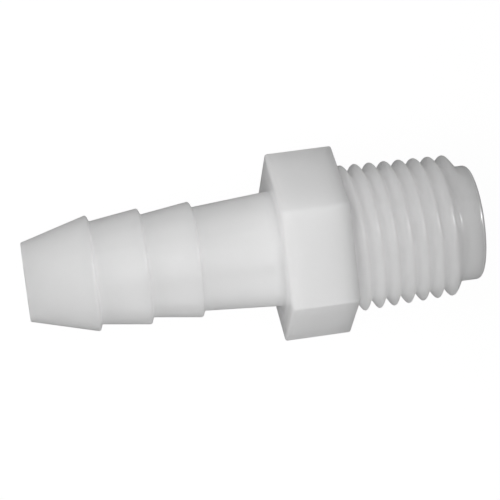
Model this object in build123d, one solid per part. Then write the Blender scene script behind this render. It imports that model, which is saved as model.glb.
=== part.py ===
from build123d import *

import math
import os

# Hose barb to male taper pipe thread adapter, moulded in one piece of nylon.
# It is made as three regions that meet at the two faces of the wrench collar.
#
# Frame: +X runs along the flow axis, from the hose tail to the threaded end.
# The origin is on that axis, in the collar's thread-side face. +Z is square to a flat of the hexagon.
# All sizes are in millimetres, and all angles in degrees.

# Wrench collar
HEX_ACROSS_FLATS = 15.6
HEX_WIDTH = 6.35
HEX_EDGE_ROUND = 0.15
HEX_CORNER_ROUND = 0.2

# Hose tail, from the collar out to the tip
SHANK_LENGTH = 7.6
SHANK_DIAMETER_AT_COLLAR = 10.9
SHANK_DIAMETER_AT_BARB = 9.8
BARB_COUNT = 3
BARB_SPACING = 4.82
BARB_CREST_DIAMETER = 10.95
BARB_ROOT_DIAMETER = 9.7
BARB_BACK_LEAN = 0.25
BARB_CREST_ROUND = 0.22
TIP_CONE_LENGTH = 6.3
TIP_DIAMETER = 7.4
TIP_EDGE_ROUND = 0.12

# Male taper pipe thread: 18 turns to the inch, right-handed, with round crests and roots
THREAD_PITCH = 25.4 / 18
THREAD_DIAMETER_AT_COLLAR = 14.0
THREAD_DEPTH = 0.83
THREAD_TAPER = 1 / 16
THREAD_CREST_LENGTH = 10.6
THREAD_START_ANGLE = 77.3
FADE_ANGLE = 54.0
LAST_FLANK_WIDTH = 1.25

# How finely the thread's surface follows its formula, and how deep its last flank dives into the pilot
SECTIONS_PER_TURN = 8
POINTS_PER_SECTION = 32
FLANK_DIVE = 0.15

# Plain pilot ahead of the thread
PILOT_DIAMETER = 10.9
PILOT_LENGTH = 0.7
PILOT_EDGE_ROUND = 0.35

# Flow bore: narrow through the tail, wider through the threaded end, with a cone between them
TAIL_BORE_DIAMETER = 6.0
THREAD_BORE_DIAMETER = 8.0
THREAD_BORE_DEPTH_IN_COLLAR = 2.25
BORE_CONE_LENGTH = 1.0
THREAD_BORE_CHAMFER = 0.3

# Places along the axis that follow from the sizes above
COLLAR_TAIL_FACE = -HEX_WIDTH
LAST_BARB_CREST = COLLAR_TAIL_FACE - SHANK_LENGTH
FIRST_BARB_CREST = LAST_BARB_CREST - BARB_SPACING * (BARB_COUNT - 1)
TIP_END = FIRST_BARB_CREST - TIP_CONE_LENGTH
THREAD_FADE_LENGTH = THREAD_PITCH * FADE_ANGLE / 360
THREAD_END = THREAD_CREST_LENGTH + THREAD_FADE_LENGTH + LAST_FLANK_WIDTH
PILOT_END = THREAD_END + PILOT_LENGTH


def turned(outline):
    """Solid of revolution about the X axis from points (x, radius)."""
    return revolve(make_face(Polyline(*outline, close=True)), Axis.X)


def edges_at(solid, x, diameter):
    """Circular edges of a turned solid at one place along the axis and one diameter."""
    def lies_there(edge):
        at_place = abs(edge.center(CenterOf.BOUNDING_BOX).X - x) < 1e-4
        return at_place and edge.geom_type == GeomType.CIRCLE and abs(edge.radius - diameter / 2) < 1e-4
    return solid.edges().filter_by(lies_there)


def flow_bore():
    """The space that the fluid runs through, from past the tip to past the pilot."""
    cone_start = -THREAD_BORE_DEPTH_IN_COLLAR - BORE_CONE_LENGTH
    return turned([
        (TIP_END, 0),
        (TIP_END, TAIL_BORE_DIAMETER / 2),
        (cone_start, TAIL_BORE_DIAMETER / 2),
        (-THREAD_BORE_DEPTH_IN_COLLAR, THREAD_BORE_DIAMETER / 2),
        (PILOT_END - THREAD_BORE_CHAMFER, THREAD_BORE_DIAMETER / 2),
        (PILOT_END, THREAD_BORE_DIAMETER / 2 + THREAD_BORE_CHAMFER),
        (PILOT_END, 0),
    ])


def hose_tail():
    """Barbed tail: a lead-in cone and two more barbs, then a shank that widens to the collar."""
    outline = [(TIP_END, 0), (TIP_END, TIP_DIAMETER / 2)]
    crests = [FIRST_BARB_CREST + BARB_SPACING * barb for barb in range(BARB_COUNT)]
    for crest in crests:
        is_last = crest == crests[-1]
        root_diameter = SHANK_DIAMETER_AT_BARB if is_last else BARB_ROOT_DIAMETER
        outline.append((crest, BARB_CREST_DIAMETER / 2))
        outline.append((crest + BARB_BACK_LEAN, root_diameter / 2))
    outline.append((COLLAR_TAIL_FACE, SHANK_DIAMETER_AT_COLLAR / 2))
    outline.append((COLLAR_TAIL_FACE, 0))
    tail = turned(outline)
    for crest in crests:
        tail = fillet(edges_at(tail, crest, BARB_CREST_DIAMETER), BARB_CREST_ROUND)
    tail = fillet(edges_at(tail, TIP_END, TIP_DIAMETER), TIP_EDGE_ROUND)
    return tail - flow_bore()


def hex_collar():
    """Wrench collar: a hexagonal plate with flats square to Z and every outer edge softened.

    Its six corners are a little rounder than its rims, so that wherever they meet there is a true face.
    """
    hexagon = RegularPolygon(HEX_ACROSS_FLATS / 2, 6, major_radius=False)
    hexagon = fillet(hexagon.vertices(), HEX_CORNER_ROUND)
    collar = extrude(Plane.YZ.offset(COLLAR_TAIL_FACE) * hexagon, HEX_WIDTH)
    rims = collar.faces().filter_by(Axis.X).edges()
    collar = fillet(rims, HEX_EDGE_ROUND)
    return collar - flow_bore()


def crest_presence(turn):
    """Share of the full thread height that the ridge has, by turns along it from the collar."""
    full_turns = THREAD_CREST_LENGTH / THREAD_PITCH
    faded = (turn - full_turns) * 360 / FADE_ANGLE
    faded = min(max(faded, 0), 1)
    return (1 + math.cos(math.pi * faded)) / 2


def thread_radius(x, angle):
    """Radius of the threaded surface at x, by the angle from +Z towards -Y."""
    turns_round = (angle - THREAD_START_ANGLE) / 360
    turns_past_crest = (x / THREAD_PITCH - turns_round) % 1
    inner_ridge = x / THREAD_PITCH - turns_past_crest
    outer_presence = crest_presence(inner_ridge + 1)
    crest = (THREAD_DIAMETER_AT_COLLAR - THREAD_TAPER * x) / 2
    foot = PILOT_DIAMETER / 2 - FLANK_DIVE
    # Between two ridges the profile is one wave of the thread's depth.
    valley = crest - THREAD_DEPTH * (1 - math.cos(2 * math.pi * turns_past_crest)) / 2
    # Beyond the last ridge a wider flank leads down into the pilot.
    down_flank = min(turns_past_crest * THREAD_PITCH / LAST_FLANK_WIDTH, 1)
    height = crest_presence(inner_ridge) * (crest - foot)
    last_flank = foot + height * (1 + math.cos(math.pi * down_flank)) / 2
    return outer_presence * valley + (1 - outer_presence) * last_flank


def thread_section(x):
    """Closed outline of the threaded surface across the axis at x."""
    points = []
    for step in range(POINTS_PER_SECTION):
        angle = 360 * step / POINTS_PER_SECTION
        radius = thread_radius(x, angle)
        across = -radius * math.sin(math.radians(angle))
        up = radius * math.cos(math.radians(angle))
        points.append((x, across, up))
    # Every section has the same spacing of its points, so the loft between them stays simple.
    spacing = [step / POINTS_PER_SECTION for step in range(POINTS_PER_SECTION + 1)]
    return Wire([Edge.make_spline(points, periodic=True, parameters=spacing)])


def pipe_thread():
    """Threaded end: the taper thread and its run-out, round a core whose bare end is the pilot."""
    steps = math.ceil(THREAD_END / THREAD_PITCH * SECTIONS_PER_TURN)
    threaded = Solid.make_loft([thread_section(THREAD_END * step / steps) for step in range(steps + 1)])
    core = turned([
        (0, 0),
        (0, PILOT_DIAMETER / 2),
        (PILOT_END, PILOT_DIAMETER / 2),
        (PILOT_END, 0),
    ])
    core = fillet(edges_at(core, PILOT_END, PILOT_DIAMETER), PILOT_EDGE_ROUND)
    return threaded + core - flow_bore()


os.makedirs("parts", exist_ok=True)
export_step(hose_tail(), "parts/hose_tail.step")
export_step(hex_collar(), "parts/hex_collar.step")
export_step(pipe_thread(), "parts/pipe_thread.step")
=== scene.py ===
import math

import bpy
import numpy as np
from mathutils import Matrix, Vector


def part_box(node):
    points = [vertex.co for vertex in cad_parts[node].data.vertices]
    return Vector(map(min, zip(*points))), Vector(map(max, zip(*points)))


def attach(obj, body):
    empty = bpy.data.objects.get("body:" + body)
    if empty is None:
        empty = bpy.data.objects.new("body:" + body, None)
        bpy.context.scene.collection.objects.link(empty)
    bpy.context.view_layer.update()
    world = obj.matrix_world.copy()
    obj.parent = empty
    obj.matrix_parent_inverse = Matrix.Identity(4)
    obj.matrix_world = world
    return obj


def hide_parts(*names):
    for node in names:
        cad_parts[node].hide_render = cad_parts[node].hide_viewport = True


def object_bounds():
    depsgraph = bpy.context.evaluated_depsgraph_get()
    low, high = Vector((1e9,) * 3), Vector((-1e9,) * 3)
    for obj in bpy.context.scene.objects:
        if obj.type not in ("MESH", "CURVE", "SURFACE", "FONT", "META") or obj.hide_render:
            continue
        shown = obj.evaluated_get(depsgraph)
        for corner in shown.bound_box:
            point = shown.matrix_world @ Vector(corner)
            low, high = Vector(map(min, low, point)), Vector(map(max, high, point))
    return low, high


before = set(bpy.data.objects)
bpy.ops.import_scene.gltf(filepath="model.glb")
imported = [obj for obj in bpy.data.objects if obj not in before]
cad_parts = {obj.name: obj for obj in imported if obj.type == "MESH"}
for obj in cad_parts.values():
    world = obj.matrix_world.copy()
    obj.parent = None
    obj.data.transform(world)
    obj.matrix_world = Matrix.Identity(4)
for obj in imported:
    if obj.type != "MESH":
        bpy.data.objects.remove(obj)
cad_low, cad_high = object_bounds()

# The fitting lies along X on one flat of its collar. Lengths are in metres and angles in degrees.
MM = 0.001

# Places along the axis, and the collar's height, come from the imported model.
TIP_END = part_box("hose_tail")[0].x
COLLAR_TAIL_FACE, COLLAR_THREAD_FACE = (corner.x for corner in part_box("hex_collar"))
PILOT_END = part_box("pipe_thread")[1].x
FLAT_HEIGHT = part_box("hex_collar")[1].z

# Hose tail
TIP_RADIUS = 3.70 * MM
TIP_EDGE_ROUND = 0.12 * MM
BARB_COUNT = 3
BARB_SPACING = 4.82 * MM
BARB_CREST_RADIUS = 5.475 * MM
BARB_ROOT_RADIUS = 4.85 * MM
BARB_BACK_LEAN = 0.25 * MM
BARB_CREST_ROUND = 0.22 * MM
SHANK_LENGTH = 7.60 * MM
SHANK_RADIUS_AT_BARB = 4.90 * MM
SHANK_RADIUS_AT_COLLAR = 5.45 * MM
INNER_CORNER_ROUND = 0.10 * MM

# Wrench collar: a hexagon with two flats square to Z
COLLAR_EDGE_ROUND = 0.22 * MM
HEX_SIDES = 6
SIDE_ANGLE = 360 / HEX_SIDES
HALF_SIDE_ANGLE = SIDE_ANGLE / 2

# Male taper pipe thread, 18 turns to the inch, right-handed
THREAD_PITCH = 25.4 * MM / 18
THREAD_RADIUS_AT_COLLAR = 7.0 * MM
THREAD_DEPTH = 0.83 * MM
THREAD_SLOPE = 1 / 32
THREAD_CREST_LENGTH = 10.6 * MM
THREAD_START_ANGLE = 77.3
FADE_ANGLE = 54.0
LAST_FLANK_WIDTH = 1.25 * MM
FLANK_DIVE = 0.15 * MM
FLANK_BLEND = 0.06 * MM

# Pilot and flow bore
PILOT_RADIUS = 5.45 * MM
PILOT_EDGE_ROUND = 0.35 * MM
TAIL_BORE_RADIUS = 3.0 * MM
THREAD_BORE_RADIUS = 4.0 * MM
THREAD_BORE_DEPTH_IN_COLLAR = 2.25 * MM
BORE_CONE_LENGTH = 1.0 * MM
BORE_CONE_ROUND = 0.1 * MM
BORE_CHAMFER = 0.3 * MM

# How fine the mesh is: columns run along the axis, and rings run round it.
COLUMNS = 204
CORNER_ZONE = 3.0
CORNER_COLUMNS = (-2.4, -1.2, -0.6, 0.0, 0.6, 1.2, 2.4)
THREAD_RINGS_PER_PITCH = 24
ROUND_RINGS = 5
PILOT_ROUND_RINGS = 7
COLLAR_FLAT_RINGS = 12
COLLAR_FACE_RINGS = (0.33, 0.66)
TAIL_STEP = 0.5 * MM
BORE_STEP = 0.6 * MM

# How far light spreads inside the nylon, and how much that softens the shading of each region's relief
SPREAD = 0.75 * MM
CORNER_SPREAD_COLUMNS = 17
WIDE_SPREAD = 2.5 * MM
# Relief that gives the full painted light in hollows and the full painted shade on crests
RELIEF_FULL = 0.4 * MM
WIDE_RELIEF_FULL = 3.0 * MM
THREAD_SOFTNESS = 0.9
BARB_SOFTNESS = 0.75
COLLAR_SOFTNESS = 1.0
COLLAR_SURROUND = THREAD_PITCH / 2
TIP_FADE = 1.0 * MM

# Natural white nylon. Tones are shares of white.
LIGHT_REACH = 4.0 * MM
# Painted light and shade: base colour in hollows and on crests, as shares of white
PAINTED_LIGHT_IN_HOLLOWS = 0.98
PAINTED_SHADE_ON_CRESTS = 0.74
VEIL_TONES = (0.97, 1.0)
BODY_ROUGHNESS = (0.32, 0.46)
COAT_ROUGHNESS = 0.31
NYLON_IOR = 1.53
CLOUD_SCALE = 260.0
CLOUD_DETAIL = 3.0
GRAIN_SCALE = 2600.0
GRAIN_DETAIL = 4.0
GRAIN_STRENGTH = 0.12
GRAIN_DEPTH = 0.02 * MM

# White sheet under the part, and the room round it
FLOOR_HALF_WIDTH = 3.0
FLOOR_SEEN = 0.95
FLOOR_BOUNCE = 0.32
FLOOR_TONE = 0.08
FLOOR_ROUGHNESS = 0.9
FLOOR_SPECULAR = 0.1
ROOM_LEVEL = 0.17
BACKDROP_SEEN = 1.0
WHITE = (1, 1, 1, 1)

# Light: soft boxes close over the part and round it, and a spark beyond the threaded end. Power is in watts.
SOFT_BOX_SIZE = 0.05
SOFT_BOX_AIM = (-0.012, 0.0, 0.0)
SOFT_BOXES = {
    "over_tail": {"at": (-0.016, -0.004, 0.060), "power": 0.0100},
    "over_far_side": {"at": (-0.024, 0.032, 0.060), "power": 0.0090},
    "far_side": {"at": (-0.010, 0.045, 0.022), "power": 0.0050},
    "near_side": {"at": (-0.008, -0.042, 0.020), "power": 0.0065},
    "tail_end": {"at": (-0.085, 0.005, 0.020), "power": 0.0140},
    "thread_end": {"at": (0.070, 0.016, 0.045), "power": 0.0035},
}
SPARK = {"at": (0.12, 0.045, 0.13), "aim": (0.006, 0.0, 0.0), "size": 0.005, "power": 0.3}

# Camera: almost straight above, a little towards +Y and the tail, and turned in its own plane.
# Its lens is in millimetres.
CAMERA_DISTANCE = 0.177
CAMERA_YAW = 6.29
CAMERA_ELEVATION = 99.73
CAMERA_ROLL = 7.71
CAMERA_LENS = 135.4
CAMERA_AIM_X = -0.0087
CAMERA_AIM_UP = 0.00018
CAMERA_NEAR = 0.01
CAMERA_FAR = 20


def column_angles():
    """Angles round the axis from +Z towards -Y: even steps, with more of them at the collar's corners."""
    even_steps = np.arange(COLUMNS) * 360.0 / COLUMNS
    corners = np.arange(HEX_SIDES) * SIDE_ANGLE + HALF_SIDE_ANGLE
    near_corner = np.abs((even_steps[:, None] - corners + 180) % 360 - 180).min(1) < CORNER_ZONE
    extra = (corners[:, None] + np.array(CORNER_COLUMNS)).ravel()
    return np.sort(np.concatenate([even_steps[~near_corner], extra % 360]))


ANGLES = column_angles()


def round_ring(radius):
    """The same radius at every column."""
    return np.full(len(ANGLES), radius)


def hexagon_ring(apothem, corner_round):
    """Radius at each column of a hexagon with rounded corners."""
    half_side = math.radians(HALF_SIDE_ANGLE)
    off_flat = np.radians((ANGLES + HALF_SIDE_ANGLE) % SIDE_ANGLE - HALF_SIDE_ANGLE)
    flat = apothem / np.cos(off_flat)
    off_corner = half_side - np.abs(off_flat)
    centre = (apothem - corner_round) / math.cos(half_side)
    # Where the ray from the axis meets the corner's arc, which is centred on the corner's own ray.
    reach = np.sqrt(np.maximum(corner_round**2 - (centre * np.sin(off_corner)) ** 2, 0))
    arc = centre * np.cos(off_corner) + reach
    in_arc = centre * np.sin(off_corner) < corner_round * math.sin(half_side)
    return np.where(in_arc, arc, flat)


def crest_presence(turn):
    """Share of the full ridge height, by turns along the thread from the collar."""
    faded = np.clip((turn - THREAD_CREST_LENGTH / THREAD_PITCH) * 360 / FADE_ANGLE, 0, 1)
    return (1 + np.cos(math.pi * faded)) / 2


def thread_ring(x):
    """Radius of the threaded surface at each column, at x from the collar's face."""
    past_crest = (x / THREAD_PITCH - (ANGLES - THREAD_START_ANGLE) / 360) % 1
    inner_ridge = x / THREAD_PITCH - past_crest
    outer_presence = crest_presence(inner_ridge + 1)
    crest = THREAD_RADIUS_AT_COLLAR - THREAD_SLOPE * x
    foot = PILOT_RADIUS - FLANK_DIVE
    # Between two ridges the profile is one wave of the thread's depth.
    valley = crest - THREAD_DEPTH * (1 - np.cos(2 * math.pi * past_crest)) / 2
    # Beyond the last ridge a wider flank leads down to the pilot.
    down_flank = np.minimum(past_crest * THREAD_PITCH / LAST_FLANK_WIDTH, 1)
    last_flank = foot + crest_presence(inner_ridge) * (crest - foot) * (1 + np.cos(math.pi * down_flank)) / 2
    ridge = outer_presence * valley + (1 - outer_presence) * last_flank
    # The flank runs out on the pilot in a small soft corner.
    apart = (ridge - PILOT_RADIUS) / FLANK_BLEND
    return PILOT_RADIUS + FLANK_BLEND * np.logaddexp(0, apart * 2) / 2


def arc_points(corner, before, after, size):
    """Points of the arc that rounds a corner of an (x, radius) outline, tangent to both its sides."""
    corner, before, after = (np.array(point, float) for point in (corner, before, after))
    back = (before - corner) / np.linalg.norm(before - corner)
    ahead = (after - corner) / np.linalg.norm(after - corner)
    half = math.acos(np.clip(back @ ahead, -1, 1)) / 2
    middle = (back + ahead) / np.linalg.norm(back + ahead)
    centre = corner + middle * size / math.sin(half)
    start = corner + back * size / math.tan(half) - centre
    end = corner + ahead * size / math.tan(half) - centre
    sweep = math.acos(np.clip(start @ end / size**2, -1, 1))
    return [
        centre + (math.sin((1 - t) * sweep) * start + math.sin(t * sweep) * end) / math.sin(sweep)
        for t in np.linspace(0, 1, ROUND_RINGS)
    ]


def rounded_outline(corners):
    """(x, radius) points through corners (x, radius, rounding), with each rounded corner as an arc."""
    points = []
    for i, (x, radius, size) in enumerate(corners):
        if size:
            points += arc_points((x, radius), corners[i - 1][:2], corners[i + 1][:2], size)
        else:
            points.append(np.array((x, radius)))
    return points


def subdivided(points, step):
    """The same outline with no stretch longer than step."""
    out = [points[0]]
    for a, b in zip(points, points[1:]):
        pieces = max(1, math.ceil(np.linalg.norm(b - a) / step))
        out += [a + (b - a) * k / pieces for k in range(1, pieces + 1)]
    return out


def tail_rings():
    """Rings of the hose tail's outside, from the tip's mouth to the collar."""
    corners = [(TIP_END, TAIL_BORE_RADIUS, 0), (TIP_END, TIP_RADIUS, TIP_EDGE_ROUND)]
    last_crest = COLLAR_TAIL_FACE - SHANK_LENGTH
    for barb in range(BARB_COUNT):
        crest = last_crest - BARB_SPACING * (BARB_COUNT - 1 - barb)
        root = SHANK_RADIUS_AT_BARB if barb == BARB_COUNT - 1 else BARB_ROOT_RADIUS
        corners.append((crest, BARB_CREST_RADIUS, BARB_CREST_ROUND))
        corners.append((crest + BARB_BACK_LEAN, root, INNER_CORNER_ROUND))
    corners.append((COLLAR_TAIL_FACE, SHANK_RADIUS_AT_COLLAR, INNER_CORNER_ROUND))
    # The last corner only shows which way the collar's face runs. The collar's own rings go on from there.
    corners.append((COLLAR_TAIL_FACE, FLAT_HEIGHT, 0))
    outline = subdivided(rounded_outline(corners)[:-1], TAIL_STEP)
    return [(x, round_ring(radius)) for x, radius in outline]


def collar_rings():
    """Rings of the collar: out over its tail face, along its flats and in over its thread face."""
    size = COLLAR_EDGE_ROUND
    inner = round_ring(SHANK_RADIUS_AT_COLLAR + INNER_CORNER_ROUND)
    foot = thread_ring(0.0)
    rim = hexagon_ring(FLAT_HEIGHT - size, size)
    full = hexagon_ring(FLAT_HEIGHT, size)
    rounding = []
    for angle in np.linspace(0, math.pi / 2, ROUND_RINGS):
        edge = hexagon_ring(FLAT_HEIGHT - size * (1 - math.sin(angle)), size)
        rounding.append((size * (1 - math.cos(angle)), edge))
    run = np.linspace(COLLAR_TAIL_FACE + size, COLLAR_THREAD_FACE - size, COLLAR_FLAT_RINGS)
    rings = [(COLLAR_TAIL_FACE, inner + (rim - inner) * share) for share in COLLAR_FACE_RINGS]
    rings += [(COLLAR_TAIL_FACE + depth, edge) for depth, edge in rounding]
    rings += [(x, full) for x in run[1:-1]]
    rings += [(COLLAR_THREAD_FACE - depth, edge) for depth, edge in reversed(rounding)]
    rings += [(COLLAR_THREAD_FACE, foot + (rim - foot) * share) for share in reversed(COLLAR_FACE_RINGS)]
    return rings


def thread_rings():
    """Rings of the thread, its run-out and the pilot with its rounded rim."""
    straight_end = PILOT_END - PILOT_EDGE_ROUND
    count = math.ceil((straight_end - COLLAR_THREAD_FACE) / THREAD_PITCH * THREAD_RINGS_PER_PITCH)
    rings = []
    for x in np.linspace(COLLAR_THREAD_FACE, straight_end, count + 1):
        rings.append((x, thread_ring(x - COLLAR_THREAD_FACE)))
    for angle in np.linspace(0, math.pi / 2, PILOT_ROUND_RINGS)[1:]:
        x = straight_end + PILOT_EDGE_ROUND * math.sin(angle)
        rings.append((x, round_ring(PILOT_RADIUS - PILOT_EDGE_ROUND * (1 - math.cos(angle)))))
    return rings


def bore_rings():
    """Rings of the flow bore, from its mouth in the pilot back to the tip."""
    cone_end = COLLAR_THREAD_FACE - THREAD_BORE_DEPTH_IN_COLLAR
    corners = [
        (PILOT_END, THREAD_BORE_RADIUS + BORE_CHAMFER, 0),
        (PILOT_END - BORE_CHAMFER, THREAD_BORE_RADIUS, 0),
        (cone_end, THREAD_BORE_RADIUS, BORE_CONE_ROUND),
        (cone_end - BORE_CONE_LENGTH, TAIL_BORE_RADIUS, BORE_CONE_ROUND),
        (TIP_END, TAIL_BORE_RADIUS, 0),
    ]
    outline = subdivided(rounded_outline(corners), BORE_STEP)[:-1]
    return [(x, round_ring(radius)) for x, radius in outline]


def ring_places(rings):
    """Grid of points, with a row for each ring and a column for each angle."""
    turn = np.radians(ANGLES)
    return np.stack(
        [
            np.stack([np.full(len(turn), x), -radius * np.sin(turn), radius * np.cos(turn)], 1)
            for x, radius in rings
        ]
    )


def tube_mesh(name, places):
    """Closed tube of quads over a grid of points, with its last ring joined to its first."""
    rows, columns = places.shape[:2]
    index = np.arange(rows * columns).reshape(rows, columns)
    after = np.roll(index, -1, 0)
    faces = np.stack([index, np.roll(index, -1, 1), np.roll(after, -1, 1), after], -1).reshape(-1, 4)
    mesh = bpy.data.meshes.new(name)
    mesh.from_pydata(places.reshape(-1, 3).tolist(), [], faces.tolist())
    mesh.validate()
    mesh.shade_smooth()
    return mesh


def spread_along(places, values, reach):
    """Values of the grid averaged along each column over a distance of about reach each way."""
    patch = np.linalg.norm(np.roll(places, -1, 0) - np.roll(places, 1, 0), axis=2)
    steps = np.linalg.norm(np.diff(places, axis=0, prepend=places[:1]), axis=2)
    travelled = np.cumsum(steps, 0)
    spread = np.empty_like(values)
    for column in range(places.shape[1]):
        distance = travelled[:, column, None] - travelled[None, :, column]
        weight = np.exp(-((distance / reach) ** 2) / 2) * patch[:, column]
        spread[:, column] = weight @ values[:, column] / weight.sum(1, keepdims=True)
    return spread


def unit(vectors):
    return vectors / np.linalg.norm(vectors, axis=2, keepdims=True)


def surface_normals(places):
    """Outward normals of the grid."""
    along = np.roll(places, -1, 0) - np.roll(places, 1, 0)
    around = np.roll(places, -1, 1) - np.roll(places, 1, 1)
    return unit(np.cross(around, along))


def eased_normals(places, sharp, shares):
    """Normals eased by each ring's share towards their average over the distance that light spreads.

    Light spreads a little way inside the nylon, so its finest relief is shaded more softly than it is shaped.
    """
    along_eased = spread_along(places, sharp, SPREAD)
    eased = np.zeros_like(sharp)
    for step in range(-CORNER_SPREAD_COLUMNS, CORNER_SPREAD_COLUMNS + 1):
        eased += np.roll(along_eased, step, 1) * (CORNER_SPREAD_COLUMNS + 1 - abs(step))
    return unit(sharp * (1 - shares[:, None, None]) + unit(eased) * shares[:, None, None])


def relief(places, shares):
    """How far each point stands above its near and its wider surroundings: crests above 0, hollows below."""
    # This relief sets the painted light in hollows and the painted shade on crests in the nylon's colour.
    radii = np.linalg.norm(places[..., 1:], axis=2, keepdims=True)
    near = spread_along(places, radii, SPREAD)
    wide = spread_along(places, radii, WIDE_SPREAD)
    height = ((radii - near) / RELIEF_FULL + (near - wide) / WIDE_RELIEF_FULL)[..., 0]
    return height * np.minimum(shares / BARB_SOFTNESS, 1)[:, None]


def softness(x, radius):
    """Share of the eased normal at a ring, by region: none in the bore, and none at its two mouths."""
    bore_radius = TAIL_BORE_RADIUS if x < COLLAR_TAIL_FACE else THREAD_BORE_RADIUS
    if radius < bore_radius + BORE_CHAMFER or x > PILOT_END - PILOT_EDGE_ROUND:
        return 0.0
    if x > COLLAR_THREAD_FACE + COLLAR_SURROUND:
        return THREAD_SOFTNESS
    if x < COLLAR_TAIL_FACE - COLLAR_SURROUND:
        return BARB_SOFTNESS * min(1.0, (x - TIP_END) / TIP_FADE)
    return COLLAR_SOFTNESS


def shade(mesh, places, shares):
    """Eased normals for the nylon's body, with the sharp normals and the relief as attributes beside them."""
    sharp = surface_normals(places)
    eased = eased_normals(places, sharp, shares)
    mesh.normals_split_custom_set_from_vertices(eased.reshape(-1, 3).tolist())
    gloss = mesh.attributes.new("gloss_normal", "FLOAT_VECTOR", "POINT")
    gloss.data.foreach_set("vector", sharp.astype(np.float32).ravel())
    # The relief drives painted light and painted shade in the base colour.
    height = mesh.attributes.new("relief", "FLOAT", "POINT")
    height.data.foreach_set("value", relief(places, shares).astype(np.float32).ravel())


def node_material(name):
    """New material, with its nodes, its links and its shader."""
    material = bpy.data.materials.new(name)
    material.use_nodes = True
    nodes = material.node_tree.nodes
    return material, nodes, material.node_tree.links, nodes["Principled BSDF"]


def set_inputs(node, values):
    for key, value in values.items():
        node.inputs[key].default_value = value


def add_node(nodes, kind, values):
    """New node of a kind, with values on its inputs."""
    node = nodes.new(kind)
    set_inputs(node, values)
    return node


def add_range(nodes, low, high):
    """New node that maps 0 to 1 on to low to high."""
    return add_node(nodes, "ShaderNodeMapRange", {"To Min": low, "To Max": high})


def nylon():
    """Natural white nylon: light spreads deep inside it, under a satin surface with faint grain. Its colour
    carries painted light in hollows and painted shade on crests.
    """
    material, nodes, links, shader = node_material("natural_nylon")
    shader_values = {
        "Subsurface Weight": 1.0,
        "Subsurface Radius": (1.0, 1.0, 1.0),
        "Subsurface Scale": LIGHT_REACH,
        "Specular IOR Level": 0.0,
        "Coat Weight": 1.0,
        "Coat IOR": NYLON_IOR,
        "Coat Roughness": COAT_ROUGHNESS,
    }
    set_inputs(shader, shader_values)
    place = nodes.new("ShaderNodeTexCoord")
    cloud = add_node(nodes, "ShaderNodeTexNoise", {"Scale": CLOUD_SCALE, "Detail": CLOUD_DETAIL})
    grain = add_node(nodes, "ShaderNodeTexNoise", {"Scale": GRAIN_SCALE, "Detail": GRAIN_DETAIL})
    for noise in (cloud, grain):
        links.new(place.outputs["Object"], noise.inputs["Vector"])

    # Painted light and shade: the base colour is painted lighter in hollows and darker on crests, by the
    # relief, as if light reached the hollows through the nylon all round.
    height = nodes.new("ShaderNodeAttribute")
    height.attribute_name = "relief"
    painted_light_and_shade = add_range(nodes, PAINTED_LIGHT_IN_HOLLOWS, PAINTED_SHADE_ON_CRESTS)
    painted_light_and_shade.inputs["From Min"].default_value = -1.0
    links.new(height.outputs["Fac"], painted_light_and_shade.inputs["Value"])
    veil = add_range(nodes, *VEIL_TONES)
    links.new(cloud.outputs["Fac"], veil.inputs["Value"])
    level = nodes.new("ShaderNodeMath")
    level.operation = "MULTIPLY"
    links.new(painted_light_and_shade.outputs["Result"], level.inputs[0])
    links.new(veil.outputs["Result"], level.inputs[1])
    tint = nodes.new("ShaderNodeCombineColor")
    for channel in ("Red", "Green", "Blue"):
        links.new(level.outputs["Value"], tint.inputs[channel])
    links.new(tint.outputs["Color"], shader.inputs["Base Color"])

    # The coat follows the sharp shape, with the grain on it.
    sharp = nodes.new("ShaderNodeAttribute")
    sharp.attribute_name = "gloss_normal"
    turned = nodes.new("ShaderNodeVectorTransform")
    turned.vector_type = "NORMAL"
    turned.convert_from = "OBJECT"
    turned.convert_to = "WORLD"
    links.new(sharp.outputs["Vector"], turned.inputs["Vector"])
    bump = add_node(nodes, "ShaderNodeBump", {"Strength": GRAIN_STRENGTH, "Distance": GRAIN_DEPTH})
    links.new(grain.outputs["Fac"], bump.inputs["Height"])
    links.new(turned.outputs["Vector"], bump.inputs["Normal"])
    links.new(bump.outputs["Normal"], shader.inputs["Coat Normal"])
    dullness = add_range(nodes, *BODY_ROUGHNESS)
    links.new(cloud.outputs["Fac"], dullness.inputs["Value"])
    links.new(dullness.outputs["Result"], shader.inputs["Roughness"])
    return material


def nylon_fitting():
    """The whole moulding as one closed surface, as it comes out of its mould."""
    rings = tail_rings() + collar_rings() + thread_rings() + bore_rings()
    places = ring_places(rings)
    mesh = tube_mesh("nylon_fitting", places)
    shade(mesh, places, np.array([softness(x, float(np.min(radius))) for x, radius in rings]))
    mesh.materials.append(nylon())
    piece = bpy.data.objects.new("nylon_fitting", mesh)
    bpy.context.scene.collection.objects.link(piece)
    return piece


def white_sheet():
    """Matt white that looks bright, but throws little light on the part and barely shows in its gloss."""
    material, nodes, links, shader = node_material("white_sheet")
    shader_values = {
        "Base Color": (FLOOR_TONE, FLOOR_TONE, FLOOR_TONE, 1),
        "Roughness": FLOOR_ROUGHNESS,
        "Specular IOR Level": FLOOR_SPECULAR,
        "Emission Color": WHITE,
    }
    set_inputs(shader, shader_values)
    path = nodes.new("ShaderNodeLightPath")
    bounced = add_node(nodes, "ShaderNodeMath", {1: FLOOR_BOUNCE})
    bounced.operation = "MULTIPLY"
    links.new(path.outputs["Is Diffuse Ray"], bounced.inputs[0])
    level = add_node(nodes, "ShaderNodeMath", {1: FLOOR_SEEN})
    level.operation = "MULTIPLY_ADD"
    links.new(path.outputs["Is Camera Ray"], level.inputs[0])
    links.new(bounced.outputs["Value"], level.inputs[2])
    links.new(level.outputs["Value"], shader.inputs["Emission Strength"])
    return material


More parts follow.
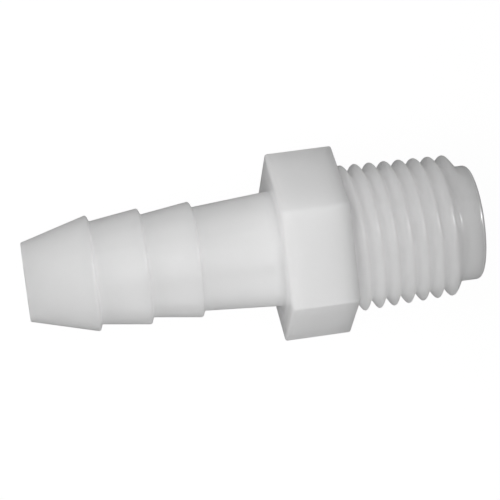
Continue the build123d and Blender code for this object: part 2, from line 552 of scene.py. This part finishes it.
def pale_floor():
    """A plain white sheet under the part."""
    size = FLOOR_HALF_WIDTH
    corners = [(-size, -size, 0), (size, -size, 0), (size, size, 0), (-size, size, 0)]
    mesh = bpy.data.meshes.new("floor")
    mesh.from_pydata(corners, [], [(0, 1, 2, 3)])
    mesh.materials.append(white_sheet())
    floor = bpy.data.objects.new("floor", mesh)
    floor.location.z = cad_low.z
    bpy.context.scene.collection.objects.link(floor)


def lamp(name, at, aim, size, power):
    data = bpy.data.lights.new(name, "AREA")
    data.shape = "DISK"
    data.size = size
    data.energy = power
    light = bpy.data.objects.new(name, data)
    light.location = at
    light.rotation_euler = (Vector(at) - Vector(aim)).to_track_quat("Z", "Y").to_euler()
    bpy.context.scene.collection.objects.link(light)
    return light


def lights():
    for name, box in SOFT_BOXES.items():
        lamp(name, box["at"], SOFT_BOX_AIM, SOFT_BOX_SIZE, box["power"])
    # The spark shows only as glints in the gloss.
    lamp("spark", **SPARK).visible_diffuse = False


def room():
    """A dim room round the part, in front of a white backdrop."""
    world = bpy.data.worlds.new("room")
    world.use_nodes = True
    nodes, links = world.node_tree.nodes, world.node_tree.links
    path = nodes.new("ShaderNodeLightPath")
    level = add_range(nodes, ROOM_LEVEL, BACKDROP_SEEN)
    links.new(path.outputs["Is Camera Ray"], level.inputs["Value"])
    sky = nodes["Background"]
    sky.inputs["Color"].default_value = WHITE
    links.new(level.outputs["Result"], sky.inputs["Strength"])
    bpy.context.scene.world = world


def camera():
    """Camera that looks at a point near the middle of the part, over it and a little from +Y."""
    lean = math.radians(CAMERA_ELEVATION)
    yaw = math.radians(CAMERA_YAW)
    roll = math.radians(CAMERA_ROLL)
    along = Vector((1, 0, 0))
    up = Vector((0, math.sin(lean), math.cos(lean)))
    towards = Vector((0, -math.cos(lean), math.sin(lean)))
    forward = math.sin(yaw) * along - math.cos(yaw) * towards
    right = math.cos(yaw) * along + math.sin(yaw) * towards
    right_turned = right * math.cos(roll) - up * math.sin(roll)
    up_turned = right * math.sin(roll) + up * math.cos(roll)
    place = along * CAMERA_AIM_X + up * CAMERA_AIM_UP - forward * CAMERA_DISTANCE
    data = bpy.data.cameras.new("camera")
    data.lens = CAMERA_LENS
    data.clip_start = CAMERA_NEAR
    data.clip_end = CAMERA_FAR
    eye = bpy.data.objects.new("camera", data)
    axes = Matrix((right_turned, up_turned, -forward)).transposed()
    eye.matrix_world = Matrix.Translation(place) @ axes.to_4x4()
    bpy.context.scene.collection.objects.link(eye)
    bpy.context.scene.camera = eye


fitting = nylon_fitting()
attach(fitting, "root")
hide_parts("hose_tail", "hex_collar", "pipe_thread")

pale_floor()
lights()
room()
camera()
bpy.context.scene.view_settings.view_transform = "Standard"
